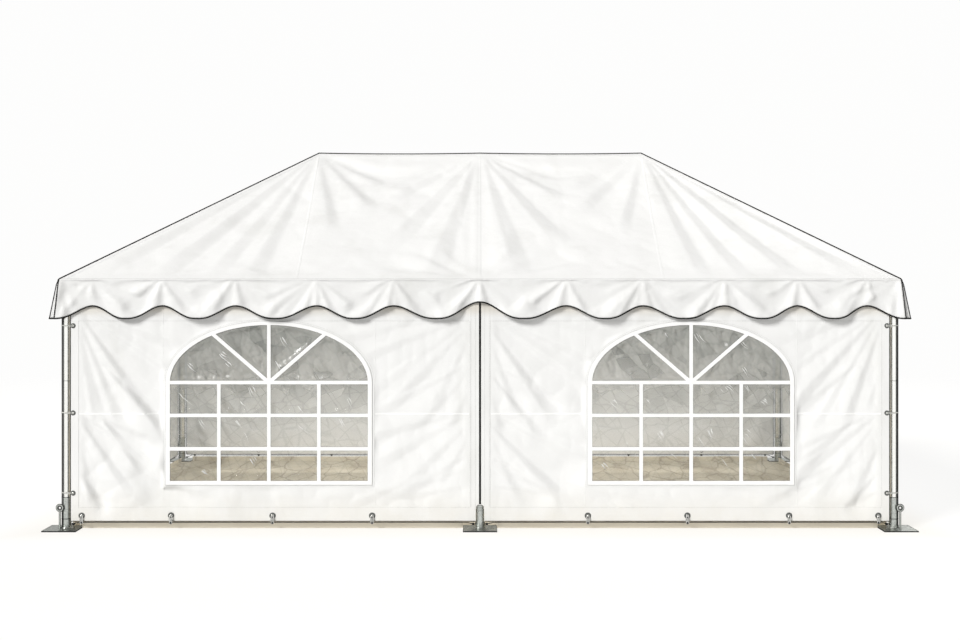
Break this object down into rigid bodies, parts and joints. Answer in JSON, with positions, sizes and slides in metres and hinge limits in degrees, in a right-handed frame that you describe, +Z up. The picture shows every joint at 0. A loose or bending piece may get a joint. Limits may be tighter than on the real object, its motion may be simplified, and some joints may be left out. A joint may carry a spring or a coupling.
{
  "type": "marquee tent",
  "caption": "Frame marquee with a hipped white fabric roof, scalloped valances, closed walls, arched windows with white bars, and posts on base plates.",
  "frame": {"origin": "on the ground under the middle of the tent, at the level of the base plates' undersides", "axes": "+Z up; +X along the tent's length; the front, with the windows, faces -Y"},
  "size_m": [8.36, 5.38, 3.8732],
  "materials": {
    "aluminium": "mill finish tube, lightly weathered",
    "steel": "galvanised, dull grey",
    "canopy": "coated white polyester, satin, creased",
    "walling": "coated white polyester, satin, creased",
    "clear_film": "clear flexible film, glossy and wrinkled",
    "glazing_bars": "white welded strips",
    "binding": "black woven tape",
    "cord": "dark braided cord with dull metal hooks",
    "sheeting": "matt beige woven sheet"
  },
  "bodies": {
    "root": {"front_left_post": "aluminium", "front_left_base": "steel", "front_middle_post": "aluminium", "front_middle_base": "steel", "front_right_post": "aluminium", "front_right_base": "steel", "front_eave_rail": "aluminium", "front_middle_rafter": "aluminium", "front_left_hip_rafter": "aluminium", "front_right_hip_rafter": "aluminium", "front_roof": "canopy", "front_valance": "canopy", "front_left_wall": "walling", "front_right_wall": "walling", "front_wall_joint": "binding", "front_left_cable": "cord", "front_right_cable": "cord", "back_left_post": "aluminium", "back_left_base": "steel", "back_middle_post": "aluminium", "back_middle_base": "steel", "back_right_post": "aluminium", "back_right_base": "steel", "back_eave_rail": "aluminium", "back_middle_rafter": "aluminium", "back_left_hip_rafter": "aluminium", "back_right_hip_rafter": "aluminium", "back_roof": "canopy", "back_valance": "canopy", "back_left_wall": "walling", "back_right_wall": "walling", "back_wall_joint": "binding", "back_left_cable": "cord", "back_right_cable": "cord", "left_eave_rail": "aluminium", "left_roof": "canopy", "left_valance": "canopy", "left_wall": "walling", "left_cable": "cord", "left_window_film": "clear_film", "left_window_bars": "glazing_bars", "right_eave_rail": "aluminium", "right_roof": "canopy", "right_valance": "canopy", "right_wall": "walling", "right_cable": "cord", "right_window_film": "clear_film", "right_window_bars": "glazing_bars", "ridge_beam": "aluminium", "ground_sheet": "sheeting"}
  },
  "joints": []
}
